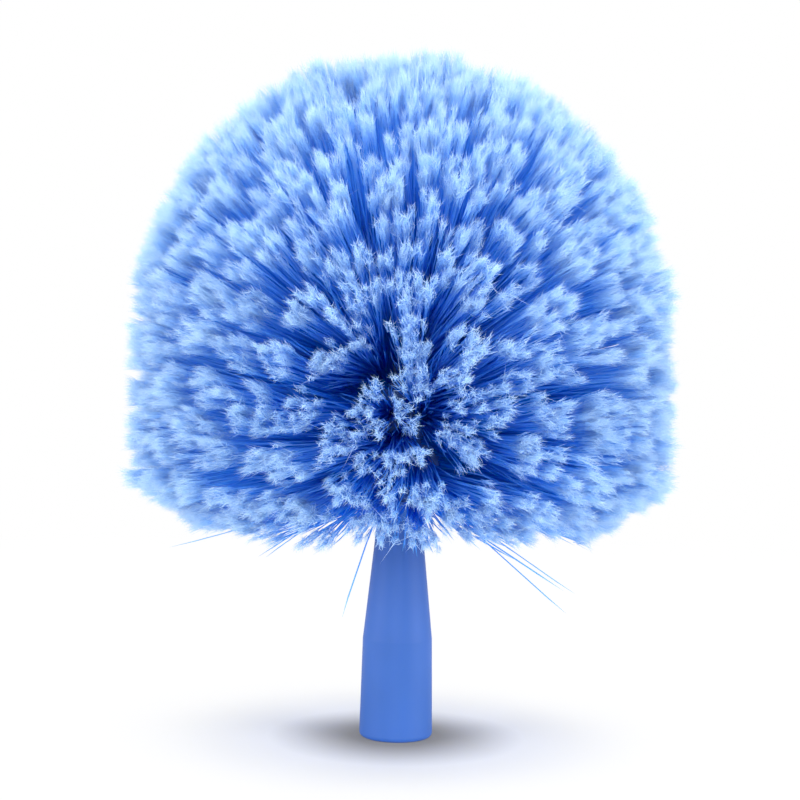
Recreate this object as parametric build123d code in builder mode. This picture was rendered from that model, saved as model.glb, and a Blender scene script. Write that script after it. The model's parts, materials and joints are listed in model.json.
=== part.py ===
from build123d import *
from collections import namedtuple
import math
import os
import random

os.makedirs("parts", exist_ok=True)

# Cobweb duster head: one blue moulding, a pole socket below and a domed core above, with tufts of
# flagged fibre folded round flat wire anchors and driven into holes in the core.
# Millimetres, +Z up along the pole, with the origin at the centre of the socket's mouth.

# Driving dimensions of the moulding, from its mouth up: collar, drafted neck, flare and core
mouth_diameter = 22.4
mouth_lip_radius = 1.4
collar_height = 30.0
collar_diameter = 21.3
neck_diameter = 13.7
flare_height = 5.5
shoulder_height = 72.0
core_diameter = 24.0
core_lip_height = 0.8
core_straight_length = 44.8

# Pole bore, drawn at the pitch line of its thread, and the cored-out space above it
bore_diameter = 16.5
bore_depth = 30.0
relief_diameter = 8.4
relief_depth = 58.0

# Tuft holes, drawn six-sided, the folded tufts in them and the wire anchors that hold the folds
hole_width = 3.0
hole_sides = 6
hole_depth = 4.4
tuft_width = 2.0
tuft_rise = 0.8
fold_thickness = 0.6
anchor_length = 2.8
anchor_width = 1.6
anchor_thickness = 0.4
slice_thickness = 0.8
fit_clearance = 0.05
cut_overrun = 2.0

# The trimmed brush, half of the trim scatter inside its tips: a dome on a straight side, drawn in
# below to a shallow skirt
brush_diameter = 168.0
brush_height = 210.5
side_foot_height = 78.0
skirt_diameter = 118.0
skirt_height = 63.5
trim_scatter = 3.5

# A strand stands for a bundle of fibres: thin at its root, widest where its flagged end begins
strand_root_radius = 0.34
strand_flag_radius = 2.6
strand_sides = 3
flag_start_share = 0.82

# Rings of tufts. Root shares are of the core's quarter arc and tip shares of the whole trimmed
# line, both counted from the pole. Every other ring is turned by one of the core's flat faces.
dome_tuft_counts = (1, 4, 8, 8)
dome_column_counts = (5, 3, 3, 5)
dome_row_counts = (1, 2, 2, 1)
dome_root_shares = (0, 0.28, 0.55, 0.81)
dome_tip_shares = (0.035, 0.15, 0.3, 0.455)
side_ring_count = 8
side_tuft_count = 8
side_column_count = 4
side_tip_start_share = 0.565
side_tip_end_share = 0.985
zigzag_share = 0.25
trim_seed = 11

neck_height = shoulder_height - flare_height
core_radius = core_diameter / 2
seat_radius = core_radius - slice_thickness
tufted_height = shoulder_height + core_lip_height
dome_height = tufted_height + core_straight_length
core_quarter_arc = core_radius * math.pi / 2
ring_pitch = core_straight_length / side_ring_count
core_sides = 2 * side_tuft_count
core_side_angle = 360 / core_sides

brush_radius = brush_diameter / 2
skirt_radius = skirt_diameter / 2
trim_dome_height = brush_height - brush_radius
trim_dome_arc = brush_radius * math.pi / 2
trim_side_length = trim_dome_height - side_foot_height
skirt_length = math.hypot(brush_radius - skirt_radius, side_foot_height - skirt_height)
trim_length = trim_dome_arc + trim_side_length + skirt_length

slot_width = anchor_thickness + 2 * fit_clearance
slot_length = anchor_width + 2 * fit_clearance
fold_length = hole_depth - fit_clearance + tuft_rise

Ring = namedtuple("Ring", "name tufts root_arc edge_arcs tip_arc tip_span columns rows turn")


def core_point(arc, radius=core_radius):
    """Radius and height on the core, or on its seat, at an outer arc length from its pole."""
    if arc < core_quarter_arc:
        angle = arc / core_radius
        return radius * math.sin(angle), dome_height + radius * math.cos(angle)
    return radius, dome_height - (arc - core_quarter_arc)


def trim_point(arc):
    """Radius and height on the line that the bristles are trimmed to, from its pole down."""
    if arc < trim_dome_arc:
        angle = arc / brush_radius
        return brush_radius * math.sin(angle), trim_dome_height + brush_radius * math.cos(angle)
    if arc < trim_dome_arc + trim_side_length:
        return brush_radius, trim_dome_height - (arc - trim_dome_arc)
    share = (arc - trim_dome_arc - trim_side_length) / skirt_length
    return (
        brush_radius + (skirt_radius - brush_radius) * share,
        side_foot_height + (skirt_height - side_foot_height) * share,
    )


def at(azimuth, radius_and_height):
    """A point of the part, from an azimuth in degrees and a radius and height."""
    radius, height = radius_and_height
    turn = math.radians(azimuth)
    return Vector(radius * math.cos(turn), radius * math.sin(turn), height)


def dome_rings():
    """The rings on the core's dome, from the pole's single tuft down."""
    roots = [share * core_quarter_arc for share in dome_root_shares]
    edges = [0.0] + [(a + b) / 2 for a, b in zip(roots, roots[1:])] + [core_quarter_arc]
    tip_shares = dome_tip_shares + (side_tip_start_share,)
    rings = []
    for i, tufts in enumerate(dome_tuft_counts):
        rings.append(
            Ring(
                name=f"ring_{side_ring_count + len(dome_tuft_counts) - i:02d}",
                tufts=tufts,
                root_arc=roots[i],
                edge_arcs=(edges[i], edges[i + 1]),
                tip_arc=tip_shares[i] * trim_length,
                tip_span=(tip_shares[i + 1] - tip_shares[i]) * trim_length,
                columns=dome_column_counts[i],
                rows=dome_row_counts[i],
                turn=i % 2 * core_side_angle,
            )
        )
    return rings


def side_rings():
    """The rings on the core's straight side, from the top one down."""
    tip_step = (side_tip_end_share - side_tip_start_share) / (side_ring_count - 1)
    rings = []
    for i in range(side_ring_count):
        top = core_quarter_arc + i * ring_pitch
        rings.append(
            Ring(
                name=f"ring_{side_ring_count - i:02d}",
                tufts=side_tuft_count,
                root_arc=top + ring_pitch / 2,
                edge_arcs=(top, top + ring_pitch),
                tip_arc=(side_tip_start_share + i * tip_step) * trim_length,
                tip_span=tip_step * trim_length,
                columns=side_column_count,
                rows=1,
                turn=(i + len(dome_tuft_counts)) % 2 * core_side_angle,
            )
        )
    return rings


def tuft_azimuths(ring):
    """The azimuths of a ring's tufts."""
    return [i * 360 / ring.tufts + ring.turn for i in range(ring.tufts)]


def tuft_plane(ring, azimuth):
    """A tuft's own plane at its hole's mouth: X runs round the core and Z along the tuft."""
    root = at(azimuth, core_point(ring.root_arc))
    if ring.tufts == 1:
        return Plane(root, x_dir=(1, 0, 0), z_dir=(0, 0, 1))
    round_core = at(azimuth + 90, (1, 0))
    return Plane(root, x_dir=round_core, z_dir=at(azimuth, trim_point(ring.tip_arc)) - root)


def tuft_planes(ring):
    """The planes of all of a ring's tufts."""
    return [tuft_plane(ring, azimuth) for azimuth in tuft_azimuths(ring)]


def strand_tips(ring, azimuth):
    """Where one tuft's strands end: columns round the brush, in rows or a zigzag down it."""
    tips = []
    for column in range(ring.columns):
        across = (column + 0.5) / ring.columns - 0.5
        for row in range(ring.rows):
            along = (row + 0.5) / ring.rows - 0.5
            if ring.rows == 1 and ring.tufts > 1:
                along = zigzag_share * (-1) ** column
            arc = ring.tip_arc + along * ring.tip_span
            tips.append(at(azimuth + across * 360 / ring.tufts, trim_point(arc)))
    return tips


def rim(plane, radius, sides):
    """The corners of a regular polygon on a plane."""
    turns = [2 * math.pi * i / sides for i in range(sides)]
    return [plane.from_local_coords((radius * math.cos(t), radius * math.sin(t))) for t in turns]


def quads(near, far):
    """The outlines of the flat faces between two rims of points."""
    return [(near[i - 1], near[i], far[i], far[i - 1]) for i in range(len(near))]


def flat_sided(outlines):
    """A solid with flat faces, from their outlines."""
    return Solid(Shell([Face(Wire.make_polygon(outline)) for outline in outlines]))


def strand(root, tip, round_core):
    """One strand, from its root in the tuft out to its widest place and on to its trimmed point."""
    run = tip - root
    foot = rim(Plane(root, x_dir=round_core, z_dir=run), strand_root_radius, strand_sides)
    flag_plane = Plane(root + run * flag_start_share, x_dir=round_core, z_dir=run)
    flag = rim(flag_plane, strand_flag_radius, strand_sides)
    point = [(flag[i - 1], flag[i], tip) for i in range(strand_sides)]
    return flat_sided([foot] + quads(foot, flag) + point)


def core_rim(arc, radius):
    """Corners round the core at an arc length from its pole, with a flat face for each tuft."""
    reach, height = core_point(arc, radius)
    half_turn = core_side_angle / 2
    plane = Plane((0, 0, height), x_dir=at(half_turn, (1, 0)), z_dir=(0, 0, 1))
    return rim(plane, reach / math.cos(math.radians(half_turn)), core_sides)


def core_seat(arcs):
    """The core's seat, flat-sided like the slices that stand round it, through rims at some arcs."""
    rims = [core_rim(arc, seat_radius) for arc in arcs]
    sides = [outline for low, high in zip(rims, rims[1:]) for outline in quads(low, high)]
    return flat_sided([rims[0], rims[-1]] + sides)


def core_slice(ring):
    """The ring's thin slice of the core, round the seat and clear of the slice above."""
    top_arc, foot_arc = ring.edge_arcs
    inner_radius = seat_radius + fit_clearance
    if ring.tufts == 1:
        low, high = [
            core_rim(foot_arc - fit_clearance, radius) for radius in (inner_radius, core_radius)
        ]
        return flat_sided([low, high] + quads(low, high))
    rims = [
        core_rim(arc, radius)
        for arc, radius in (
            (foot_arc, core_radius),
            (top_arc + fit_clearance, core_radius),
            (top_arc + fit_clearance, inner_radius),
            (foot_arc, inner_radius),
        )
    ]
    return flat_sided([outline for i in range(len(rims)) for outline in quads(rims[i - 1], rims[i])])


def tuft_strands(ring, azimuth, scatter):
    """One tuft's strands. They fan out from the tuft's own width, so none crosses another."""
    plane = tuft_plane(ring, azimuth)
    tips = [plane.to_local_coords(tip) for tip in strand_tips(ring, azimuth)]
    root_room = tuft_width / 2 - strand_root_radius
    widths = [max(abs(tip.X) for tip in tips), max(abs(tip.Y) for tip in tips)]
    strands = []
    for tip in tips:
        root = Vector(
            root_room * tip.X / widths[0],
            root_room * tip.Y / widths[1],
            tuft_rise / 2,
        )
        uneven = scatter.uniform(-trim_scatter, trim_scatter) / 2
        end = tip + (tip - root).normalized() * uneven
        strands.append(
            strand(plane.from_local_coords(root), plane.from_local_coords(end), plane.x_dir)
        )
    return strands


rings = dome_rings() + side_rings()
scatter = random.Random(trim_seed)

with BuildPart() as body:
    with BuildSketch(Plane.XZ):
        with BuildLine():
            lip = CenterArc(
                (mouth_diameter / 2 - mouth_lip_radius, mouth_lip_radius), mouth_lip_radius, 270, 90
            )
            Polyline(
                lip @ 1,
                (collar_diameter / 2, collar_height),
                (neck_diameter / 2, neck_height),
                (core_radius, shoulder_height),
                (core_radius, tufted_height),
                (0, tufted_height),
                (0, 0),
                lip @ 0,
            )
        make_face()
    revolve(axis=Axis.Z)

    # The seat that the tufts' slices stand round, from its foot up
    dome_edges = [ring.edge_arcs[1] for ring in reversed(rings[: len(dome_tuft_counts)])]
    add(core_seat([core_quarter_arc + core_straight_length] + dome_edges))

    # Pole bore, and the drafted core space above the pole's end
    with BuildSketch(Plane.XZ):
        with BuildLine():
            Polyline(
                (0, -cut_overrun),
                (bore_diameter / 2, -cut_overrun),
                (bore_diameter / 2, bore_depth),
                (relief_diameter / 2, bore_depth),
                (relief_diameter / 2, relief_depth),
                (0, relief_depth),
                close=True,
            )
        make_face()
    revolve(axis=Axis.Z, mode=Mode.SUBTRACT)

    # A blind hole for each tuft, along the way the tuft points
    with BuildSketch(*[plane.offset(-hole_depth) for ring in rings for plane in tuft_planes(ring)]):
        RegularPolygon(hole_width / 2, side_count=hole_sides, major_radius=False)
    extrude(amount=hole_depth + cut_overrun, mode=Mode.SUBTRACT)
body.part.label = "body"
export_step(body.part, "parts/body.step")

strand_count = 0
for ring in rings:
    planes = tuft_planes(ring)

    # The ring's slice of the core, its folded tufts down in their holes, and its strands
    with BuildPart() as tuft_ring:
        folds = [
            Plane(
                plane.from_local_coords((0, 0, fit_clearance - hole_depth)),
                x_dir=plane.y_dir,
                z_dir=plane.x_dir,
            )
            for plane in planes
        ]
        with BuildSketch(*folds):
            Rectangle(tuft_width, fold_length, align=(Align.CENTER, Align.MIN))
            with Locations((0, fold_thickness)):
                Rectangle(slot_width, slot_length, align=(Align.CENTER, Align.MIN), mode=Mode.SUBTRACT)
        extrude(amount=tuft_width / 2, both=True)
        strands = [
            piece
            for azimuth in tuft_azimuths(ring)
            for piece in tuft_strands(ring, azimuth, scatter)
        ]
        add([core_slice(ring)] + strands)
        strand_count += len(strands)
    tuft_ring.part.label = "tuft_" + ring.name
    export_step(tuft_ring.part, f"parts/{tuft_ring.part.label}.step")

    # The flat wire anchors, each across its hole inside the fold
    anchor_depth = hole_depth - fold_thickness - 2 * fit_clearance
    with BuildPart() as anchor_ring:
        with Locations(*[Location(plane.offset(-anchor_depth)) for plane in planes]):
            Box(
                anchor_length,
                anchor_thickness,
                anchor_width,
                align=(Align.CENTER, Align.CENTER, Align.MIN),
            )
    anchor_ring.part.label = "anchor_" + ring.name
    export_step(anchor_ring.part, f"parts/{anchor_ring.part.label}.step")

print("strands", strand_count, "tufts", sum(ring.tufts for ring in rings))
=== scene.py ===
import json
import math
import random

import bmesh
import bpy
import numpy as np
from bpy.props import FloatProperty, FloatVectorProperty, IntProperty, PointerProperty
from mathutils import Matrix, Vector

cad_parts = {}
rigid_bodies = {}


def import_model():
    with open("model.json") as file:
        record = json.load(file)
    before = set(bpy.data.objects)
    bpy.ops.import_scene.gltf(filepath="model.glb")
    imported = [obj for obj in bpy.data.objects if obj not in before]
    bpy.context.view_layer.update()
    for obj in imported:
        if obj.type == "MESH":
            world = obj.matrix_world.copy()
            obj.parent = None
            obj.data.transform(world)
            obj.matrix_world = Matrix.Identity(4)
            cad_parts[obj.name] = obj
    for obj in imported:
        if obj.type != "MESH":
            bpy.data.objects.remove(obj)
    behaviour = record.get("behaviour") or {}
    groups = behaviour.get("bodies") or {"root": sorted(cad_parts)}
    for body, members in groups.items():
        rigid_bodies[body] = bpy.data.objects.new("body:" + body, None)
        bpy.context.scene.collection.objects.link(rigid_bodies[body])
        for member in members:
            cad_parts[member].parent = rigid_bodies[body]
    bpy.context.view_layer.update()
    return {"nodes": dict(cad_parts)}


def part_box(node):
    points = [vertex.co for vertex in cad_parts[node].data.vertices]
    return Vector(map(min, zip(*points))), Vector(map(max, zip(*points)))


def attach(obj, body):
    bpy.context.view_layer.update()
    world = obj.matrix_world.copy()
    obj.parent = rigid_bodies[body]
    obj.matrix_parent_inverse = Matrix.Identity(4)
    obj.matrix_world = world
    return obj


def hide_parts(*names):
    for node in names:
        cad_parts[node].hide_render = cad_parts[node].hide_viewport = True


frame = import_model()

bl_info = {
    "name": "Cobweb duster head",
    "version": (1, 0, 0),
    "blender": (4, 5, 0),
    "location": "View3D > Sidebar > Duster",
    "description": "Dresses a cobweb duster head: moulding, flagged tufts and photo stage",
    "category": "Object",
}

BODY = "root"
MM = 0.001
MOULDING = "body"
TUFT_NODES = sorted(name for name in frame["nodes"] if name.startswith("tuft_ring_"))
ANCHOR_NODES = sorted(name for name in frame["nodes"] if name.startswith("anchor_ring_"))
CAMERA_PIXELS = 800
SENSOR_WIDTH = 36.0
# Name, place in metres and power in watts. Lamps all round reach into the fibres from each side,
# as a light tent does
LAMPS = (
    ("front_lamp", (-0.1, -1.25, 0.25), 9),
    ("left_lamp", (-1.15, -0.5, 0.4), 9.5),
    ("right_lamp", (1.15, -0.5, 0.4), 12),
    ("back_lamp", (0.1, 1.3, 0.4), 6.5),
    ("top_lamp", (0.05, -0.1, 1.4), 12.5),
)
LAMP_AIM = (0, 0, 0.11)
LAMP_SIZE = 0.9
AMBIENT = 0.5
# The floor's colour away from the head, and the colour of the contact shadow painted near the head
FLOOR_PALE = (0.9, 0.9, 0.9)
FLOOR_SHADE = (0.3, 0.28, 0.25)
# Shares of the shadow radius between which the painted contact shadow pales
SHADE_STOPS = (0.15, 0.8)
# In shadow radii: where the camera sees the floor fade to white, and where the rest of it fades
FADE_NEAR, FADE_END = 0.25, 1.6
REST_NEAR, REST_END = 3, 12
# How white the camera sees the floor at the head and past the fade, and what the rest adds
FADE_SHARES = (0.1, 0.92)
REST_SHARE = 0.08
# The spacing of rows of places and how far a place wanders in its row, in pitches
ROW_SPACING = 0.87
PLACE_WANDER = 0.38
# How far a lock wanders between rings, in lock pitches, and how much shorter the shortest lock is
LOCK_WANDER = 0.3
LOCK_SHORTNESS = 0.025
LOCK_PULL_RANGE = (0.6, 1.4)
CLUMP_SHORTNESS = 0.02
# Reach of the bare fibres under a clump, as a share of the way to its tip
UNDER_REACH = (0.72, 0.9)
# A fibre's tone lies about the middle, and wanders by its lock, its clump and itself
MIDDLE_TONE = 0.5
LOCK_TONE_WANDER = 0.15
FIBRE_TONE_WANDER = 0.22
STRAY_TONE = 0.9
# In shares of the flag: how far the shaft runs into it, and up to where its hairs leave
SHAFT_IN_FLAG = 0.8
HAIR_LEAVES = 0.75
# How far a hair wanders round the shaft, in hair pitches
HAIR_TURN_WANDER = 0.4
# How far hairs splay where the flag starts and at its end, in hair spreads
HAIR_SPLAY = (0.25, 0.75)
HAIR_OUT_RANGE = (0.4, 1.3)
HAIR_RISE_RANGE = (0.5, 1)
GIRTH_RANGE = (0.8, 1.2)
# Steps in which the trim line is searched for the place that a tuft points at
AIM_STEPS = 400
MERGE_DISTANCE = MM / 100
# The core's skin lies this far inside the core's radius and starts this far below the anchors
CORE_SKIN_INSET = 0.05 * MM
CORE_SKIN_DROP = 2 * MM
CORE_SKIN_SIDES = 64
# In degrees, from one point of the skin's domed outline to the next
DOME_STEP = 6
THREAD_TURN_POINTS = 48
THREAD_RIDGE_SIDES = 8
# Turn in degrees, reach and height in millimetres of each stray fibre's tip
STRAYS = (
    (186, 70, 58.5), (200, 45, 54.5), (204, 43, 55.5), (235, 30, 37), (-12, 52, 41), (-20, 39, 58),
    (-35, 62, 50), (-48, 70, 51), (15, 66, 57), (60, 58, 52), (95, 50, 45), (140, 64, 54),
)


def length(name, description, default, **limits):
    """A length in metres, shown with its unit."""
    return FloatProperty(
        name=name, description=description, default=default, unit="LENGTH", precision=5, **limits
    )


def colour(name, description, default):
    """A colour, in linear values."""
    return FloatVectorProperty(
        name=name, description=description, default=default, subtype="COLOR", min=0, max=1
    )


def share(name, description, default):
    """A share from 0 to 1."""
    return FloatProperty(
        name=name, description=description, default=default, min=0, max=1, subtype="FACTOR"
    )


class DusterMouldingSettings(bpy.types.PropertyGroup):
    """The blue moulding: socket, core and the thread in its mouth."""

    plastic: colour("Plastic", "Colour of the satin blue plastic", (0.015, 0.1, 0.4))
    roughness: share("Roughness", "How matt the moulded skin is", 0.55)
    grain_size: length("Grain size", "Size of the fine texture in the mould", 0.35 * MM)
    core_radius: length("Core radius", "Radius of the core that carries the tufts", 12 * MM)
    bore_radius: length("Bore radius", "Radius of the pole socket's plain bore", 8.25 * MM)
    thread_pitch: length("Thread pitch", "Rise of the thread in one turn", 5.08 * MM)
    thread_height: length("Thread height", "How far the thread stands into the bore", 0.9 * MM)
    thread_start: length("Thread start", "Height of the thread's first turn", 3 * MM)
    thread_turns: FloatProperty(name="Thread turns", description="Turns of thread", default=4.5)
    seam_width: length("Seam width", "Width of the line where the mould halves met", 0.25 * MM)


class DusterFibreSettings(bpy.types.PropertyGroup):
    """The tufts of flagged fibre and the line that they are trimmed to."""

    # The root colour holds painted shade: the fibre's blue, deeper and more saturated, for the
    # shade deep in the brush
    shaded_root_colour: colour("Root colour", "Fibre colour deep in the brush", (0.02, 0.4, 1.0))
    shaft_colour: colour("Shaft colour", "Fibre colour below its split end", (0.21, 0.61, 1.0))
    flag_colour: colour("Flag colour", "Colour of the split end", (0.77, 0.89, 1.0))
    light_through: share("Light through", "Share of light that a fibre lets through", 0.65)
    trim_radius: length("Trim radius", "Radius of the trimmed brush", 86.5 * MM)
    trim_top: length("Trim top", "Height of the top of the dome", 212.5 * MM)
    side_foot: length("Side foot", "Height where the straight side ends", 78 * MM)
    skirt_radius: length("Skirt radius", "Radius of the drawn-in skirt", 63 * MM)
    skirt_height: length("Skirt height", "Height of the skirt's edge", 62.5 * MM)
    lock_pitch: length("Lock pitch", "Distance between neighbouring locks of fibre", 18 * MM)
    lock_pull: share("Lock pull", "How far a lock draws its clumps together", 0.22)
    lock_crown: share("Lock crown", "How much shorter a lock's outer fibres are", 0.035)
    clump_pitch: length("Clump pitch", "Distance between neighbouring clumps of tips", 8 * MM)
    clump_spread: length("Clump spread", "How far a clump's tips lie from its middle", 1.7 * MM)
    clump_fibres: IntProperty(
        name="Fibres in a clump", description="Fibres that each clump holds", default=8, min=1
    )
    most_clumps: IntProperty(
        name="Most clumps", description="Clumps in a ring made in one piece", default=130, min=1
    )
    under_fibres: IntProperty(
        name="Under fibres", description="Shorter bare fibres between the clumps", default=7, min=0
    )
    root_lift: length("Root lift", "Height of a fibre's root over its anchor", 2.5 * MM)
    root_scatter: length("Root scatter", "How far a lock's root lies from its tuft", 2.2 * MM)
    shaft_radius: length("Shaft radius", "Radius of one fibre", 0.19 * MM)
    hair_radius: length("Hair radius", "Radius of a split hair at its thickest", 0.08 * MM)
    hair_count: IntProperty(
        name="Hairs", description="Hairs that a fibre's end splits into", default=30, min=2
    )
    hair_spread: length("Hair spread", "How far split hairs stand off the fibre's line", 2.2 * MM)
    hair_foot: length("Hair foot", "How far off the fibre's line a split hair may start", 0.9 * MM)
    loose_hair: length("Loose hair", "How far the longest loose hairs stand off", 7 * MM)
    form_count: IntProperty(
        name="Fibre forms", description="Different fibres in the tufts", default=12, min=3
    )
    flag_share: share("Flag share", "Share of a fibre's length that is split", 0.15)
    tuft_radius: length("Tuft radius", "Radius of a tuft at its hole", 1.1 * MM)
    length_scatter: share("Length scatter", "How much shorter the shortest fibres are", 0.07)
    wave: length("Wave", "How far a fibre bows at its middle", 1.6 * MM)
    seed: IntProperty(name="Seed", description="Starts the scatter of clumps", default=7, min=0)


class DusterStageSettings(bpy.types.PropertyGroup):
    """Camera, floor and lamps."""

    camera_distance: length("Camera distance", "From the camera to the socket's axis", 0.459)
    camera_aside: length("Camera aside", "How far the camera stands to one side", -0.6 * MM)
    camera_height: length("Camera height", "Height of the level camera", 0.1033)
    focal_pixels: FloatProperty(
        name="Focal length in pixels", description="Of the square picture", default=1490.0
    )
    roll: FloatProperty(
        name="Roll", description="Lean of the camera", default=math.radians(1.1), subtype="ANGLE"
    )
    floor_size: length("Floor size", "Side of the pale floor", 6.0)
    shadow_radius: length("Shadow radius", "Reach of the contact shadow", 55 * MM)


# ---------------------------------------------------------------- shared helpers


def finish_piece(name, mesh, material, nodes=()):
    """Adds a mesh as a piece that rides on the head and, where given, replaces CAD nodes."""
    mesh.name = name
    mesh.materials.clear()
    mesh.materials.append(material)
    piece = bpy.data.objects.new(name, mesh)
    bpy.context.scene.collection.objects.link(piece)
    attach(piece, BODY)
    if nodes:
        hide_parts(*nodes)
    return piece


def paint_node(node, material):
    """Gives a carried-over CAD node its own material."""
    piece = frame["nodes"][node]
    piece.data.materials.clear()
    piece.data.materials.append(material)


class ShaderBuilder:
    """Short calls for building a material's nodes."""

    def __init__(self, name):
        self.material = bpy.data.materials.new(name)
        self.material.use_nodes = True
        self.tree = self.material.node_tree
        self.surface = self.tree.nodes["Principled BSDF"]

    def node(self, kind, **values):
        made = self.tree.nodes.new(kind)
        for key, value in values.items():
            setattr(made, key, value)
        return made

    def link(self, source, target):
        self.tree.links.new(source, target)

    def ramp(self, source, stops):
        """A colour ramp read by a value, from (place, colour) stops."""
        made = self.node("ShaderNodeValToRGB")
        elements = made.color_ramp.elements
        while len(elements) < len(stops):
            elements.new(0.5)
        for element, (place, value) in zip(elements, stops):
            element.position = place
            element.color = (*value, 1)
        self.link(source, made.inputs["Fac"])
        return made.outputs["Color"]


def moulded_plastic(settings):
    """Satin blue plastic with a fine moulded grain and faint handling marks."""
    shader = ShaderBuilder("satin_blue_plastic")
    place = shader.node("ShaderNodeTexCoord").outputs["Object"]
    cloud = shader.node("ShaderNodeTexNoise")
    cloud.inputs["Scale"].default_value = 0.25 / (settings.grain_size * 30)
    shader.link(place, cloud.inputs["Vector"])
    plastic = tuple(settings.plastic)
    pale = tuple(min(1, 1.12 * c + 0.012) for c in plastic)
    deep = tuple(0.9 * c for c in plastic)
    tint = shader.ramp(cloud.outputs["Fac"], [(0.3, deep), (0.7, pale)])
    shader.link(tint, shader.surface.inputs["Base Color"])
    grain = shader.node("ShaderNodeTexNoise")
    grain.inputs["Scale"].default_value = 1 / settings.grain_size
    grain.inputs["Detail"].default_value = 3
    shader.link(place, grain.inputs["Vector"])
    bump = shader.node("ShaderNodeBump")
    bump.inputs["Strength"].default_value = 0.12
    bump.inputs["Distance"].default_value = 0.05 * MM
    shader.link(grain.outputs["Fac"], bump.inputs["Height"])
    # The mould's two halves met in the plane across the view, so the seam runs up both sides
    across = shader.node("ShaderNodeSeparateXYZ")
    shader.link(place, across.inputs[0])
    off_seam = shader.node("ShaderNodeMath", operation="ABSOLUTE")
    shader.link(across.outputs["Y"], off_seam.inputs[0])
    ridge = shader.node("ShaderNodeMapRange")
    ridge.inputs["From Min"].default_value = settings.seam_width / 4
    ridge.inputs["From Max"].default_value = settings.seam_width / 2
    ridge.inputs["To Min"].default_value = 1
    ridge.inputs["To Max"].default_value = 0
    shader.link(off_seam.outputs[0], ridge.inputs["Value"])
    seam = shader.node("ShaderNodeBump")
    seam.inputs["Strength"].default_value = 0.5
    seam.inputs["Distance"].default_value = 0.08 * MM
    shader.link(ridge.outputs["Result"], seam.inputs["Height"])
    shader.link(bump.outputs["Normal"], seam.inputs["Normal"])
    shader.link(seam.outputs["Normal"], shader.surface.inputs["Normal"])
    shader.surface.inputs["Roughness"].default_value = settings.roughness
    return shader.material


def flagged_fibre(settings):
    """Blue fibre that pales along its split end. U runs along the fibre and V is its own tone."""
    shader = ShaderBuilder("flagged_blue_fibre")
    split = shader.node("ShaderNodeSeparateXYZ")
    shader.link(shader.node("ShaderNodeUVMap", uv_map="UVMap").outputs["UV"], split.inputs[0])
    root, shaft, flag = (
        tuple(c) for c in (settings.shaded_root_colour, settings.shaft_colour, settings.flag_colour)
    )
    end = 1 - settings.flag_share
    turning = tuple(0.65 * s + 0.35 * f for s, f in zip(shaft, flag))
    full_flag = 1 - settings.flag_share * 0.25
    # Painted shade: towards its root the fibre darkens to the shaded root colour, and the split
    # end's lower part stays bluer for the shade among the flags; the split end itself pales
    along = shader.ramp(
        split.outputs["X"], [(0.2, root), (0.6, shaft), (end, turning), (full_flag, flag)]
    )
    # A fibre of low tone is bluer than its neighbours
    tone = shader.node("ShaderNodeHueSaturation")
    for name, low, high in (("Value", 0.96, 1.03), ("Saturation", 1.3, 0.9)):
        given = shader.node("ShaderNodeMapRange")
        given.inputs["To Min"].default_value = low
        given.inputs["To Max"].default_value = high
        shader.link(split.outputs["Y"], given.inputs["Value"])
        shader.link(given.outputs["Result"], tone.inputs[name])
    shader.link(along, tone.inputs["Color"])
    shader.link(tone.outputs["Color"], shader.surface.inputs["Base Color"])
    shader.surface.inputs["Roughness"].default_value = 0.45
    shader.surface.inputs["Specular IOR Level"].default_value = 0.1
    through = shader.node("ShaderNodeBsdfTranslucent")
    shader.link(tone.outputs["Color"], through.inputs["Color"])
    both = shader.node("ShaderNodeMixShader")
    both.inputs["Fac"].default_value = settings.light_through
    shader.link(shader.surface.outputs[0], both.inputs[1])
    shader.link(through.outputs[0], both.inputs[2])
    shader.link(both.outputs[0], shader.tree.nodes["Material Output"].inputs["Surface"])
    return shader.material


def anchor_steel():
    """Tinned steel wire with a faint drawn streak."""
    shader = ShaderBuilder("tinned_anchor_wire")
    streak = shader.node("ShaderNodeTexNoise")
    streak.inputs["Scale"].default_value = 900
    place = shader.node("ShaderNodeTexCoord").outputs["Object"]
    shader.link(place, streak.inputs["Vector"])
    tint = shader.ramp(streak.outputs["Fac"], [(0.3, (0.5, 0.5, 0.5)), (0.7, (0.7, 0.7, 0.7))])
    shader.link(tint, shader.surface.inputs["Base Color"])
    shader.surface.inputs["Metallic"].default_value = 1
    shader.surface.inputs["Roughness"].default_value = 0.35
    return shader.material


# ---------------------------------------------------------------- the tufts


def tuft_seats(node):
    """Each tuft's anchor in a CAD ring, as its middle and the way its tuft points."""
    form = bmesh.new()
    form.from_mesh(frame["nodes"][node].data)
    bmesh.ops.remove_doubles(form, verts=form.verts, dist=MERGE_DISTANCE)
    left = set(form.verts)
    seats = []
    while left:
        island, edge = set(), [left.pop()]
        while edge:
            vert = edge.pop()
            island.add(vert)
            near = {e.other_vert(vert) for e in vert.link_edges} & left
            left -= near
            edge.extend(near)
        points = np.array([v.co for v in island])
        middle = points.mean(0)
        # A wire's length, width and thickness differ, and its width runs along the tuft
        axes = np.linalg.svd(points - middle)[2]
        axis = Vector(axes[1])
        outward = Vector(middle) - Vector((0, 0, core_dome_height()))
        outward.z = max(outward.z, 0)
        if axis.dot(outward) < 0:
            axis.negate()
        seats.append((Vector(middle), axis))
    form.free()
    return sorted(seats, key=lambda seat: math.atan2(seat[0].y, seat[0].x))


def nearest_seat(seats, azimuth):
    """The seat of a ring that stands nearest to a turn about the pole."""

    def turn_between(seat):
        turn = math.atan2(seat[0].y, seat[0].x) - azimuth
        return abs((turn + math.pi) % math.tau - math.pi)

    return min(seats, key=turn_between)


def core_dome_height():
    """Where the core's straight side ends and its domed top begins."""
    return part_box(MOULDING)[1].z - bpy.context.scene.duster_moulding.core_radius


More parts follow.
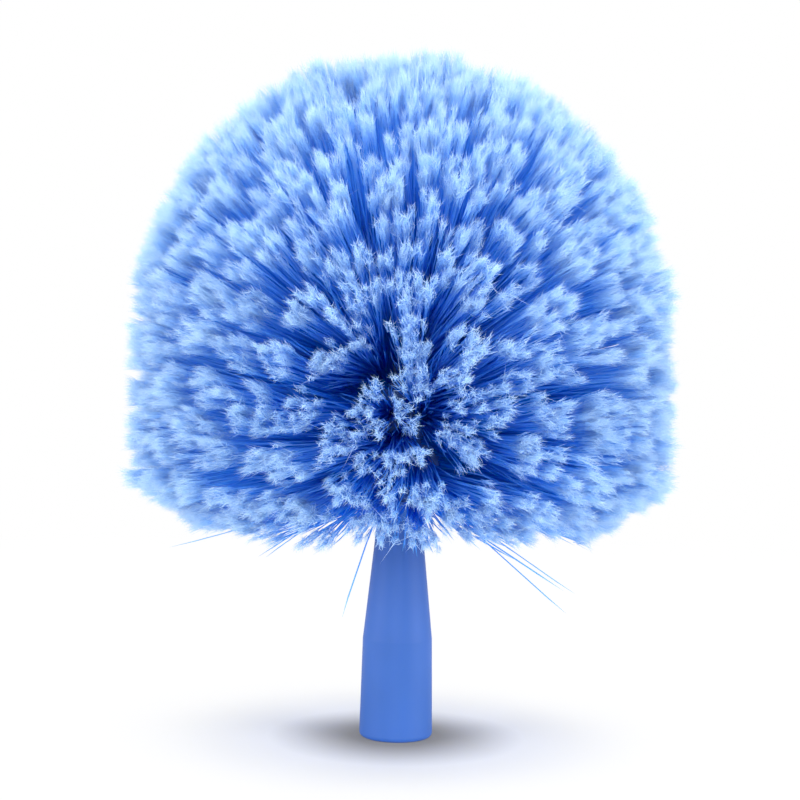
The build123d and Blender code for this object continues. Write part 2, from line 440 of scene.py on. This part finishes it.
class TrimLine:
    """The line that the brush is trimmed to, from the top of its dome down to its skirt."""

    def __init__(self, settings):
        self.radius = settings.trim_radius
        self.dome_height = settings.trim_top - settings.trim_radius
        self.foot = settings.side_foot
        self.skirt = (settings.skirt_radius, settings.skirt_height)
        self.dome_arc = self.radius * math.pi / 2
        self.side_arc = self.dome_arc + self.dome_height - self.foot
        self.skirt_run = math.hypot(self.radius - self.skirt[0], self.foot - self.skirt[1])
        self.length = self.side_arc + self.skirt_run

    def point(self, arc):
        """Radius and height at an arc length from the pole."""
        if arc < self.dome_arc:
            angle = arc / self.radius
            return self.radius * math.sin(angle), self.dome_height + self.radius * math.cos(angle)
        if arc < self.side_arc:
            return self.radius, self.dome_height - (arc - self.dome_arc)
        part = (arc - self.side_arc) / self.skirt_run
        return (
            self.radius + (self.skirt[0] - self.radius) * part,
            self.foot + (self.skirt[1] - self.foot) * part,
        )

    def place(self, arc, azimuth):
        """The point on the trimmed brush at an arc length and a turn."""
        radius, height = self.point(arc)
        return Vector((radius * math.cos(azimuth), radius * math.sin(azimuth), height))

    def aim(self, root, axis):
        """Arc length of the place on the line that a tuft points at."""
        best = None
        turn = math.atan2(root.y, root.x)
        for step in range(AIM_STEPS + 1):
            arc = self.length * step / AIM_STEPS
            score = (self.place(arc, turn) - root).normalized().dot(axis)
            if best is None or score > best[0]:
                best = (score, arc)
        return best[1]


def spread_places(line, pitch, scatter):
    """Places about a pitch apart all over the trimmed brush, as (arc, azimuth)."""
    places = []
    rows = max(1, round(line.length / (pitch * ROW_SPACING)))
    for row in range(rows):
        arc = line.length * (row + 0.5) / rows
        count = max(1, round(math.tau * line.point(arc)[0] / pitch))
        for i in range(count):
            turn = i + 0.5 * (row % 2) + scatter.uniform(-PLACE_WANDER, PLACE_WANDER)
            drift = arc + scatter.uniform(-PLACE_WANDER, PLACE_WANDER) * pitch
            places.append((min(max(drift, 0), line.length), math.tau * turn / count))
    return places


class Lock:
    """A lock of fibre: part of one tuft that hangs together at its tips."""

    def __init__(self, line, place, rings, edges, settings, scatter):
        self.arc, azimuth = place
        self.middle = line.place(*place)
        wander = self.arc + scatter.uniform(-LOCK_WANDER, LOCK_WANDER) * settings.lock_pitch
        self.ring = sum(wander > edge for edge in edges)
        seat, axis = nearest_seat(rings[self.ring], azimuth)
        aside = Vector([scatter.uniform(-1, 1) for _ in range(3)]) * settings.root_scatter
        self.root = seat + axis * settings.root_lift + aside
        self.reach = 1 - scatter.uniform(0, LOCK_SHORTNESS)
        self.pull = settings.lock_pull * scatter.uniform(*LOCK_PULL_RANGE)
        self.tone = MIDDLE_TONE + scatter.uniform(-LOCK_TONE_WANDER, LOCK_TONE_WANDER)

    def clump(self, line, place, settings, scatter):
        """A clump of this lock and the bare fibres under it, as points for the tree."""
        arc, azimuth = place
        tip = line.place(arc, azimuth)
        under = (tip - self.root) * scatter.uniform(*UNDER_REACH)
        off = (tip - self.middle).length / settings.lock_pitch
        drawn = tip.lerp(self.middle, self.pull)
        tip = line.place(arc + (self.arc - arc) * self.pull, math.atan2(drawn.y, drawn.x))
        crown = settings.lock_crown * off * off
        reach = self.reach - crown - scatter.uniform(0, CLUMP_SHORTNESS)
        common = {"tone": self.tone + scatter.uniform(-LOCK_TONE_WANDER, LOCK_TONE_WANDER)}
        flagged = {"fibres": float(settings.clump_fibres), "flagged": 1.0, "spread": 1.0}
        bare = {"fibres": float(settings.under_fibres), "flagged": 0.0, "spread": 2.0}
        return [
            (self.root, {"aim": (tip - self.root) * reach, **flagged, **common}),
            (self.root, {"aim": under, **bare, **common}),
        ]


def fibre_form(settings, number):
    """One fibre, a unit long, whose end splits into fine hairs. Number 0 is a bare shaft."""
    scatter = random.Random(number)
    form = bmesh.new()
    along = form.verts.layers.float.new("along")
    split = 1 - settings.flag_share
    # A bare shaft keeps the shaft's colour up to its end
    stretch = 1 if number else split

    def point(x, y, z):
        made = form.verts.new((x, y, z))
        made[along] = z * stretch
        return made

    def rim(x, y, z, radius, turn=0.0):
        angles = [math.tau * i / 3 + turn for i in range(3)]
        return [point(x + radius * math.cos(a), y + radius * math.sin(a), z) for a in angles]

    def join(near, far):
        for i in range(3):
            form.faces.new((near[i - 1], near[i], far[i], far[i - 1]))

    def close(ring, tip):
        for i in range(3):
            form.faces.new((ring[i - 1], ring[i], tip))

    shaft_end = split + settings.flag_share * SHAFT_IN_FLAG if number else 1.0
    rims = [rim(0, 0, height, settings.shaft_radius) for height in (0, split * 0.5, split)]
    form.faces.new(rims[0][::-1])
    for near, far in zip(rims, rims[1:]):
        join(near, far)
    close(rims[-1], point(0, 0, shaft_end))
    for i in range(settings.hair_count if number else 0):
        turn = i + scatter.uniform(-HAIR_TURN_WANDER, HAIR_TURN_WANDER)
        angle = math.tau * turn / settings.hair_count
        # Hairs that leave the shaft nearer its end splay wider
        late = scatter.random()
        splay = HAIR_SPLAY[0] + (HAIR_SPLAY[1] - HAIR_SPLAY[0]) * late
        out = settings.hair_spread * splay * scatter.uniform(*HAIR_OUT_RANGE)
        if number == 1 and i == 0:
            out = settings.loose_hair
        start = settings.flag_share * HAIR_LEAVES * late
        rise = (settings.flag_share - start) * scatter.uniform(*HAIR_RISE_RANGE)
        # Hairs start a little off the fibre's middle, so that they cross like down
        off, side = settings.hair_foot * scatter.random() ** 0.5, scatter.uniform(0, math.tau)
        x, y = off * math.cos(side), off * math.sin(side)
        foot = rim(x, y, split + start, settings.hair_radius, angle)
        tip = point(x + out * math.cos(angle), y + out * math.sin(angle), split + start + rise)
        close(foot, tip)
        form.faces.new(foot[::-1])
    mesh = bpy.data.meshes.new(f"fibre_form_{number:02d}")
    form.to_mesh(mesh)
    form.free()
    return mesh


class TreeBuilder:
    """Short calls for building a Geometry Nodes tree."""

    def __init__(self, name):
        self.tree = bpy.data.node_groups.new(name, "GeometryNodeTree")
        self.sockets = {}
        self.socket("Geometry", "NodeSocketGeometry")
        self.tree.interface.new_socket(
            "Geometry", in_out="OUTPUT", socket_type="NodeSocketGeometry"
        )
        self.input = self.tree.nodes.new("NodeGroupInput")
        self.output = self.tree.nodes.new("NodeGroupOutput")

    def socket(self, name, kind):
        made = self.tree.interface.new_socket(name, in_out="INPUT", socket_type=kind)
        self.sockets[name] = made.identifier
        return made

    def node(self, kind, **values):
        made = self.tree.nodes.new(kind)
        for key, value in values.items():
            setattr(made, key, value)
        return made

    def link(self, source, target):
        self.tree.links.new(source, target)

    def maths(self, operation, *sources, kind="ShaderNodeMath"):
        """A math node fed by sockets or plain numbers."""
        made = self.node(kind, operation=operation)
        for place, source in enumerate(sources):
            if isinstance(source, bpy.types.NodeSocket):
                self.link(source, made.inputs[place])
            elif source is not None:
                made.inputs[place].default_value = source
        return made.outputs[0]

    def vectors(self, operation, *sources):
        return self.maths(operation, *sources, kind="ShaderNodeVectorMath")

    def length(self, vector):
        made = self.node("ShaderNodeVectorMath", operation="LENGTH")
        self.link(vector, made.inputs[0])
        return made.outputs["Value"]

    def scaled(self, vector, factor):
        made = self.node("ShaderNodeVectorMath", operation="SCALE")
        self.link(vector, made.inputs[0])
        if isinstance(factor, bpy.types.NodeSocket):
            self.link(factor, made.inputs["Scale"])
        else:
            made.inputs["Scale"].default_value = factor
        return made.outputs[0]

    def random_vector(self, seed):
        """A vector with each part from -1 to 1, fixed by its seed."""
        made = self.node("FunctionNodeRandomValue", data_type="FLOAT_VECTOR")
        made.inputs[0].default_value = (-1, -1, -1)
        made.inputs[1].default_value = (1, 1, 1)
        made.inputs["Seed"].default_value = seed
        return made.outputs[0]

    def random_value(self, low, high, seed):
        made = self.node("FunctionNodeRandomValue", data_type="FLOAT")
        made.inputs[2].default_value = low
        made.inputs[3].default_value = high
        made.inputs["Seed"].default_value = seed
        return made.outputs[1]

    def named(self, name, kind):
        made = self.node("GeometryNodeInputNamedAttribute", data_type=kind)
        made.inputs["Name"].default_value = name
        return made.outputs[0]

    def store(self, geometry, name, value, kind="FLOAT", domain="POINT"):
        made = self.node("GeometryNodeStoreNamedAttribute", data_type=kind, domain=domain)
        made.inputs["Name"].default_value = name
        self.link(geometry, made.inputs["Geometry"])
        self.link(value, made.inputs["Value"])
        return made.outputs[0]


def fibre_tree():
    """Sets fibres on clump points: each clump's fibres fan out of its tuft to its own tips."""
    build = TreeBuilder("set_fibres")
    build.socket("Forms", "NodeSocketCollection")
    for name in ("Tuft radius", "Clump spread", "Length scatter", "Wave", "Last form"):
        build.socket(name, "NodeSocketFloat")
    build.socket("Fibre finish", "NodeSocketMaterial")
    given = build.input.outputs

    copies = build.node("GeometryNodeDuplicateElements", domain="POINT")
    build.link(given["Geometry"], copies.inputs["Geometry"])
    build.link(build.named("fibres", "FLOAT"), copies.inputs["Amount"])
    flagged = build.named("flagged", "FLOAT")

    # Two throws added together crowd a clump's tips towards its middle
    throw = build.vectors("ADD", build.random_vector(1), build.random_vector(2))
    aside = build.scaled(throw, given["Clump spread"])
    aside = build.scaled(aside, build.named("spread", "FLOAT"))
    shorter = build.maths("MULTIPLY", build.random_value(0, 1, 3), build.random_value(0, 1, 4))
    kept = build.maths(
        "SUBTRACT", 1.0, build.maths("MULTIPLY", shorter, given["Length scatter"])
    )
    # A fibre is cut where its clump meets the trim line, whichever way it leans
    aim = build.named("aim", "FLOAT_VECTOR")
    lean = build.vectors("NORMALIZE", build.vectors("ADD", aim, aside))
    reach = build.scaled(lean, build.maths("MULTIPLY", build.length(aim), kept))
    points = build.store(copies.outputs["Geometry"], "reach", reach, "FLOAT_VECTOR")

    reach = build.named("reach", "FLOAT_VECTOR")
    run = build.length(reach)
    bend = build.scaled(build.random_vector(5), given["Wave"])
    points = build.store(points, "bend", bend, "FLOAT_VECTOR")
    own_tone = build.random_value(-FIBRE_TONE_WANDER, FIBRE_TONE_WANDER, 6)
    tone = build.maths("ADD", build.named("tone", "FLOAT"), own_tone)
    points = build.store(points, "tone", tone)

    spread = build.node("GeometryNodeSetPosition")
    build.link(points, spread.inputs["Geometry"])
    build.link(build.scaled(build.random_vector(7), given["Tuft radius"]), spread.inputs["Offset"])

    forms = build.node("GeometryNodeCollectionInfo")
    forms.inputs["Separate Children"].default_value = True
    forms.inputs["Reset Children"].default_value = True
    build.link(given["Forms"], forms.inputs["Collection"])
    turned = build.node("FunctionNodeAlignRotationToVector", axis="Z")
    build.link(reach, turned.inputs["Vector"])
    spin = build.node("FunctionNodeAxisAngleToRotation")
    build.link(build.random_value(0, math.tau, 8), spin.inputs["Angle"])
    spun = build.node("FunctionNodeRotateRotation", rotation_space="LOCAL")
    build.link(turned.outputs[0], spun.inputs["Rotation"])
    build.link(spin.outputs[0], spun.inputs["Rotate By"])
    girth = build.random_value(*GIRTH_RANGE, 9)
    size = build.node("ShaderNodeCombineXYZ")
    build.link(girth, size.inputs["X"])
    build.link(girth, size.inputs["Y"])
    build.link(run, size.inputs["Z"])
    placed = build.node("GeometryNodeInstanceOnPoints")
    placed.inputs["Pick Instance"].default_value = True
    choice = build.node("ShaderNodeMapRange")
    build.link(build.random_value(0, 1, 10), choice.inputs["Value"])
    choice.inputs["To Min"].default_value = 1
    build.link(given["Last form"], choice.inputs["To Max"])
    number = build.maths("ROUND", build.maths("MULTIPLY", choice.outputs["Result"], flagged))
    build.link(number, placed.inputs["Instance Index"])
    build.link(spread.outputs[0], placed.inputs["Points"])
    build.link(forms.outputs[0], placed.inputs["Instance"])
    build.link(spun.outputs[0], placed.inputs["Rotation"])
    build.link(size.outputs[0], placed.inputs["Scale"])
    real = build.node("GeometryNodeRealizeInstances")
    build.link(placed.outputs[0], real.inputs["Geometry"])

    # Each fibre bows by its own bend, most at its middle
    along = build.named("along", "FLOAT")
    bow = build.maths("MULTIPLY", along, build.maths("SUBTRACT", 1.0, along))
    bent = build.node("GeometryNodeSetPosition")
    build.link(real.outputs[0], bent.inputs["Geometry"])
    offset = build.scaled(build.named("bend", "FLOAT_VECTOR"), build.maths("MULTIPLY", bow, 4.0))
    build.link(offset, bent.inputs["Offset"])

    chart = build.node("ShaderNodeCombineXYZ")
    build.link(along, chart.inputs["X"])
    build.link(build.named("tone", "FLOAT"), chart.inputs["Y"])
    mapped = build.store(bent.outputs[0], "UVMap", chart.outputs[0], "FLOAT2", "CORNER")
    for name in ("reach", "bend", "aim", "tone", "along", "fibres", "flagged", "spread"):
        cleared = build.node("GeometryNodeRemoveAttribute")
        cleared.inputs["Name"].default_value = name
        build.link(mapped, cleared.inputs["Geometry"])
        mapped = cleared.outputs[0]
    painted = build.node("GeometryNodeSetMaterial")
    build.link(mapped, painted.inputs["Geometry"])
    build.link(given["Fibre finish"], painted.inputs["Material"])
    build.link(painted.outputs[0], build.output.inputs["Geometry"])
    return build


def plain_mesh(name, start, build, inputs):
    """Runs a tree on a mesh and returns what it makes as a plain mesh."""
    holder = bpy.data.objects.new(name + "_holder", start)
    bpy.context.scene.collection.objects.link(holder)
    modifier = holder.modifiers.new("Nodes", "NODES")
    modifier.node_group = build.tree
    for socket, value in inputs.items():
        modifier[build.sockets[socket]] = value
    bpy.context.view_layer.update()
    shown = holder.evaluated_get(bpy.context.evaluated_depsgraph_get())
    made = bpy.data.meshes.new_from_object(shown)
    bpy.data.objects.remove(holder)
    bpy.data.meshes.remove(start)
    return made


def point_mesh(name, points):
    """A mesh of bare points, from (place, {attribute: value}) pairs."""
    mesh = bpy.data.meshes.new(name)
    mesh.from_pydata([place for place, _ in points], [], [])
    for key, value in points[0][1].items():
        kind = "FLOAT" if isinstance(value, float) else "FLOAT_VECTOR"
        layer = mesh.attributes.new(key, kind, "POINT")
        for i, (_, values) in enumerate(points):
            if kind == "FLOAT":
                layer.data[i].value = values[key]
            else:
                layer.data[i].vector = values[key]
    return mesh


class DUSTER_OT_tufts(bpy.types.Operator):
    """Sets every tuft's fibres in the core, a piece for each ring of tufts"""

    bl_idname = "duster.tufts"
    bl_label = "Set the tufts"

    def execute(self, context):
        settings = context.scene.duster_fibre
        line = TrimLine(settings)
        finish = flagged_fibre(settings)

        rings = []
        for anchor_node, tuft_node in zip(ANCHOR_NODES, TUFT_NODES):
            seats = tuft_seats(anchor_node)
            arcs = [line.aim(middle, axis) for middle, axis in seats]
            rings.append((sum(arcs) / len(arcs), tuft_node, seats))
        rings.sort(key=lambda ring: ring[0])
        edges = [(a[0] + b[0]) / 2 for a, b in zip(rings, rings[1:])]

        scatter = random.Random(settings.seed)
        locks = [
            Lock(line, place, [seats for _, _, seats in rings], edges, settings, scatter)
            for place in spread_places(line, settings.lock_pitch, scatter)
        ]
        clumps = [[] for _ in rings]
        for place in spread_places(line, settings.clump_pitch, scatter):
            tip = line.place(*place)
            lock = min(locks, key=lambda lock: (lock.middle - tip).length_squared)
            clumps[lock.ring] += lock.clump(line, place, settings, scatter)
        clumps[-1] += self.strays(rings[-1][2], settings.root_lift)

        forms = bpy.data.collections.new("fibre_forms")
        context.scene.collection.children.link(forms)
        for number in range(settings.form_count):
            mesh = fibre_form(settings, number)
            forms.objects.link(bpy.data.objects.new(mesh.name, mesh))
        build = fibre_tree()
        inputs = {
            "Forms": forms,
            "Tuft radius": settings.tuft_radius,
            "Clump spread": settings.clump_spread,
            "Length scatter": settings.length_scatter,
            "Wave": settings.wave,
            "Last form": float(settings.form_count - 1),
            "Fibre finish": finish,
        }
        for (_, tuft_node, _), points in zip(rings, clumps):
            # A ring of many fibres is made in two halves
            sides = [[p for p in points if p[0].x < 0], [p for p in points if p[0].x >= 0]]
            halves = sides if len(points) > settings.most_clumps * 2 else [points]
            for half, letter in zip(halves, "ab"):
                name = tuft_node.replace("tuft_", "fibres_") + (letter if len(halves) > 1 else "")
                mesh = plain_mesh(name, point_mesh(name + "_points", half), build, inputs)
                finish_piece(name, mesh, finish, [tuft_node])
        for form in list(forms.objects):
            bpy.data.meshes.remove(form.data)
        bpy.data.collections.remove(forms)
        return {"FINISHED"}

    def strays(self, seats, root_lift):
        """Single fibres of the lowest ring that hang out below the skirt."""
        points = []
        for azimuth, radius, height in STRAYS:
            turn = math.radians(azimuth)
            seat, axis = nearest_seat(seats, turn)
            root = seat + axis * root_lift
            tip = Vector((radius * math.cos(turn), radius * math.sin(turn), height)) * MM
            bare = {"fibres": 1.0, "flagged": 0.0, "spread": 0.0, "tone": STRAY_TONE}
            points.append((root, {"aim": tip - root, **bare}))
        return points


# ---------------------------------------------------------------- the moulding


class DUSTER_OT_moulding(bpy.types.Operator):
    """Finishes the moulding and the anchors, and adds the core's skin between its tufts"""

    bl_idname = "duster.moulding"
    bl_label = "Finish the moulding"

    def execute(self, context):
        settings = context.scene.duster_moulding
        plastic = moulded_plastic(settings)
        paint_node(MOULDING, plastic)
        wire = anchor_steel()
        for node in ANCHOR_NODES:
            paint_node(node, wire)

        low = min(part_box(node)[0].z for node in ANCHOR_NODES)
        foot = low - CORE_SKIN_DROP
        dome = core_dome_height()
        radius = settings.core_radius - CORE_SKIN_INSET
        outline = [(0, foot), (radius, foot), (radius, dome)]
        outline += [
            (radius * math.cos(math.radians(a)), dome + radius * math.sin(math.radians(a)))
            for a in range(DOME_STEP, 90, DOME_STEP)
        ]
        form = bmesh.new()
        line = [form.verts.new((r, 0, z)) for r, z in outline + [(0, dome + radius)]]
        for near, far in zip(line, line[1:]):
            form.edges.new((near, far))
        bmesh.ops.spin(
            form, geom=form.verts[:] + form.edges[:], axis=(0, 0, 1), cent=(0, 0, 0),
            steps=CORE_SKIN_SIDES, angle=math.tau,
        )
        bmesh.ops.remove_doubles(form, verts=form.verts, dist=MERGE_DISTANCE)
        bmesh.ops.recalc_face_normals(form, faces=form.faces)
        for face in form.faces:
            face.smooth = True
        mesh = bpy.data.meshes.new("core_skin")
        form.to_mesh(mesh)
        form.free()
        finish_piece("core_skin", mesh, plastic)
        return {"FINISHED"}


def thread_tree():
    """A ridge that winds up the inside of a bore."""
    build = TreeBuilder("wind_thread")
    for name in ("Bore radius", "Pitch", "Turns", "Height", "Start"):
        build.socket(name, "NodeSocketFloat")
    build.socket("Plastic", "NodeSocketMaterial")
    given = build.input.outputs
    spiral = build.node("GeometryNodeCurveSpiral")
    spiral.inputs["Resolution"].default_value = THREAD_TURN_POINTS
    for name in ("Start Radius", "End Radius"):
        build.link(given["Bore radius"], spiral.inputs[name])
    build.link(given["Turns"], spiral.inputs["Rotations"])
    build.link(build.maths("MULTIPLY", given["Turns"], given["Pitch"]), spiral.inputs["Height"])
    ridge = build.node("GeometryNodeCurvePrimitiveCircle", mode="RADIUS")
    ridge.inputs["Resolution"].default_value = THREAD_RIDGE_SIDES
    build.link(given["Height"], ridge.inputs["Radius"])
    swept = build.node("GeometryNodeCurveToMesh")
    swept.inputs["Fill Caps"].default_value = True
    build.link(spiral.outputs[0], swept.inputs["Curve"])
    build.link(ridge.outputs[0], swept.inputs["Profile Curve"])
    lift = build.node("ShaderNodeCombineXYZ")
    build.link(given["Start"], lift.inputs["Z"])
    raised = build.node("GeometryNodeTransform")
    build.link(swept.outputs[0], raised.inputs["Geometry"])
    build.link(lift.outputs[0], raised.inputs["Translation"])
    real = build.node("GeometryNodeRealizeInstances")
    build.link(raised.outputs[0], real.inputs["Geometry"])
    painted = build.node("GeometryNodeSetMaterial")
    build.link(real.outputs[0], painted.inputs["Geometry"])
    build.link(given["Plastic"], painted.inputs["Material"])
    build.link(painted.outputs[0], build.output.inputs["Geometry"])
    return build


class DUSTER_OT_thread(bpy.types.Operator):
    """Winds the coarse thread up the pole socket's bore"""

    bl_idname = "duster.thread"
    bl_label = "Wind the thread"

    def execute(self, context):
        settings = context.scene.duster_moulding
        plastic = bpy.data.materials["satin_blue_plastic"]
        inputs = {
            "Bore radius": settings.bore_radius,
            "Pitch": settings.thread_pitch,
            "Turns": settings.thread_turns,
            "Height": settings.thread_height,
            "Start": settings.thread_start,
            "Plastic": plastic,
        }
        start = bpy.data.meshes.new("bore_thread_start")
        mesh = plain_mesh("bore_thread", start, thread_tree(), inputs)
        finish_piece("bore_thread", mesh, plastic)
        return {"FINISHED"}


# ---------------------------------------------------------------- the stage


class DUSTER_OT_stage(bpy.types.Operator):
    """Sets the pale floor, the white surroundings, the lamps and the camera"""

    bl_idname = "duster.stage"
    bl_label = "Set the stage"

    def execute(self, context):
        settings = context.scene.duster_stage
        scene = context.scene
        scene.view_settings.view_transform = "Standard"
        self.add_floor(settings)
        self.light_world(scene)
        for lamp in LAMPS:
            self.add_lamp(*lamp)
        camera = bpy.data.cameras.new("photo_camera")
        camera.sensor_width = SENSOR_WIDTH
        camera.lens = SENSOR_WIDTH * settings.focal_pixels / CAMERA_PIXELS
        camera.clip_start = 0.01
        holder = bpy.data.objects.new("photo_camera", camera)
        scene.collection.objects.link(holder)
        look = Matrix.Rotation(math.radians(90), 4, "X") @ Matrix.Rotation(settings.roll, 4, "Z")
        place = Matrix.Translation(
            (settings.camera_aside, -settings.camera_distance, settings.camera_height)
        )
        holder.matrix_world = place @ look
        scene.camera = holder
        return {"FINISHED"}

    def add_floor(self, settings):
        half = settings.floor_size / 2
        mesh = bpy.data.meshes.new("floor")
        mesh.from_pydata(
            [(-half, -half, 0), (half, -half, 0), (half, half, 0), (-half, half, 0)],
            [],
            [(0, 1, 2, 3)],
        )
        floor = bpy.data.objects.new("floor", mesh)
        bpy.context.scene.collection.objects.link(floor)
        shader = ShaderBuilder("pale_floor")
        shader.surface.inputs["Roughness"].default_value = 0.9
        shader.surface.inputs["Specular IOR Level"].default_value = 0
        away = shader.node("ShaderNodeVectorMath", operation="LENGTH")
        shader.link(shader.node("ShaderNodeTexCoord").outputs["Object"], away.inputs[0])
        near = shader.node("ShaderNodeMapRange", interpolation_type="SMOOTHSTEP")
        near.inputs["From Max"].default_value = settings.shadow_radius
        shader.link(away.outputs["Value"], near.inputs["Value"])
        camera_ray = shader.node("ShaderNodeLightPath").outputs["Is Camera Ray"]
        # The camera sees a painted contact shadow, the floor's colour darkening near the head;
        # other rays see the pale floor
        tint = shader.node("ShaderNodeMix", data_type="RGBA")
        shader.link(camera_ray, tint.inputs["Factor"])
        tint.inputs[6].default_value = (*FLOOR_PALE, 1)
        stops = list(zip(SHADE_STOPS, (FLOOR_SHADE, FLOOR_PALE)))
        shader.link(shader.ramp(near.outputs["Result"], stops), tint.inputs[7])
        shader.link(tint.outputs[2], shader.surface.inputs["Base Color"])
        # Away from the head the camera sees the floor fade to the white behind it
        glow = shader.node("ShaderNodeEmission")
        mix = shader.node("ShaderNodeMixShader")
        fade = shader.node("ShaderNodeMapRange", interpolation_type="SMOOTHSTEP")
        fade.inputs["From Min"].default_value = settings.shadow_radius * FADE_NEAR
        fade.inputs["From Max"].default_value = settings.shadow_radius * FADE_END
        fade.inputs["To Min"].default_value, fade.inputs["To Max"].default_value = FADE_SHARES
        shader.link(away.outputs["Value"], fade.inputs["Value"])
        further = shader.node("ShaderNodeMapRange")
        further.inputs["From Min"].default_value = settings.shadow_radius * REST_NEAR
        further.inputs["From Max"].default_value = settings.shadow_radius * REST_END
        further.inputs["To Max"].default_value = REST_SHARE
        shader.link(away.outputs["Value"], further.inputs["Value"])
        total = shader.node("ShaderNodeMath", operation="ADD")
        shader.link(fade.outputs["Result"], total.inputs[0])
        shader.link(further.outputs["Result"], total.inputs[1])
        seen = shader.node("ShaderNodeMath", operation="MULTIPLY")
        shader.link(total.outputs[0], seen.inputs[0])
        shader.link(camera_ray, seen.inputs[1])
        shader.link(seen.outputs[0], mix.inputs["Fac"])
        shader.link(shader.surface.outputs[0], mix.inputs[1])
        shader.link(glow.outputs[0], mix.inputs[2])
        # From below the floor lets the eye through to the socket's mouth
        below = shader.node("ShaderNodeMath", operation="MULTIPLY")
        shader.link(shader.node("ShaderNodeNewGeometry").outputs["Backfacing"], below.inputs[0])
        shader.link(camera_ray, below.inputs[1])
        open_floor = shader.node("ShaderNodeMixShader")
        shader.link(below.outputs[0], open_floor.inputs["Fac"])
        shader.link(mix.outputs[0], open_floor.inputs[1])
        shader.link(shader.node("ShaderNodeBsdfTransparent").outputs[0], open_floor.inputs[2])
        shader.link(open_floor.outputs[0], shader.tree.nodes["Material Output"].inputs["Surface"])
        mesh.materials.append(shader.material)

    def light_world(self, scene):
        world = bpy.data.worlds.new("white_surround")
        world.use_nodes = True
        tree = world.node_tree
        tree.nodes.clear()
        path = tree.nodes.new("ShaderNodeLightPath")
        seen = tree.nodes.new("ShaderNodeMath")
        seen.operation = "MAXIMUM"
        tree.links.new(path.outputs["Is Camera Ray"], seen.inputs[0])
        either = tree.nodes.new("ShaderNodeMath")
        either.operation = "MAXIMUM"
        tree.links.new(path.outputs["Is Glossy Ray"], either.inputs[0])
        tree.links.new(path.outputs["Is Transmission Ray"], either.inputs[1])
        tree.links.new(either.outputs[0], seen.inputs[1])
        ambient = tree.nodes.new("ShaderNodeBackground")
        ambient.inputs["Strength"].default_value = AMBIENT
        white = tree.nodes.new("ShaderNodeBackground")
        for shade in (ambient, white):
            shade.inputs["Color"].default_value = (1, 1, 1, 1)
        mix = tree.nodes.new("ShaderNodeMixShader")
        out = tree.nodes.new("ShaderNodeOutputWorld")
        tree.links.new(seen.outputs[0], mix.inputs["Fac"])
        tree.links.new(ambient.outputs[0], mix.inputs[1])
        tree.links.new(white.outputs[0], mix.inputs[2])
        tree.links.new(mix.outputs[0], out.inputs["Surface"])
        scene.world = world

    def add_lamp(self, name, place, power):
        lamp = bpy.data.lights.new(name, "AREA")
        lamp.size = LAMP_SIZE
        lamp.energy = power
        holder = bpy.data.objects.new(name, lamp)
        bpy.context.scene.collection.objects.link(holder)
        turn = (Vector(LAMP_AIM) - Vector(place)).to_track_quat("-Z", "Y")
        holder.matrix_world = Matrix.Translation(place) @ turn.to_matrix().to_4x4()


class DUSTER_PT_panel(bpy.types.Panel):
    """Shows the duster's steps as buttons, and its sizes and other settings"""

    bl_idname = "DUSTER_PT_panel"
    bl_label = "Cobweb duster head"
    bl_space_type = "VIEW_3D"
    bl_region_type = "UI"
    bl_category = "Duster"

    def draw(self, context):
        layout = self.layout
        for operator in OPERATORS:
            layout.operator(operator.bl_idname)
        for settings in (
            context.scene.duster_moulding,
            context.scene.duster_fibre,
            context.scene.duster_stage,
        ):
            column = layout.box().column()
            for name in settings.bl_rna.properties.keys():
                if name not in ("rna_type", "name"):
                    column.prop(settings, name)


SETTINGS = (DusterMouldingSettings, DusterFibreSettings, DusterStageSettings)
OPERATORS = (DUSTER_OT_moulding, DUSTER_OT_thread, DUSTER_OT_tufts, DUSTER_OT_stage)
CLASSES = SETTINGS + OPERATORS + (DUSTER_PT_panel,)


def register():
    for cls in CLASSES:
        bpy.utils.register_class(cls)
    bpy.types.Scene.duster_moulding = PointerProperty(type=DusterMouldingSettings)
    bpy.types.Scene.duster_fibre = PointerProperty(type=DusterFibreSettings)
    bpy.types.Scene.duster_stage = PointerProperty(type=DusterStageSettings)


def unregister():
    del bpy.types.Scene.duster_stage
    del bpy.types.Scene.duster_fibre
    del bpy.types.Scene.duster_moulding
    for cls in reversed(CLASSES):
        bpy.utils.unregister_class(cls)


def main():
    register()
    bpy.ops.duster.moulding()
    bpy.ops.duster.thread()
    bpy.ops.duster.tufts()
    bpy.ops.duster.stage()


if __name__ == "__main__":
    main()
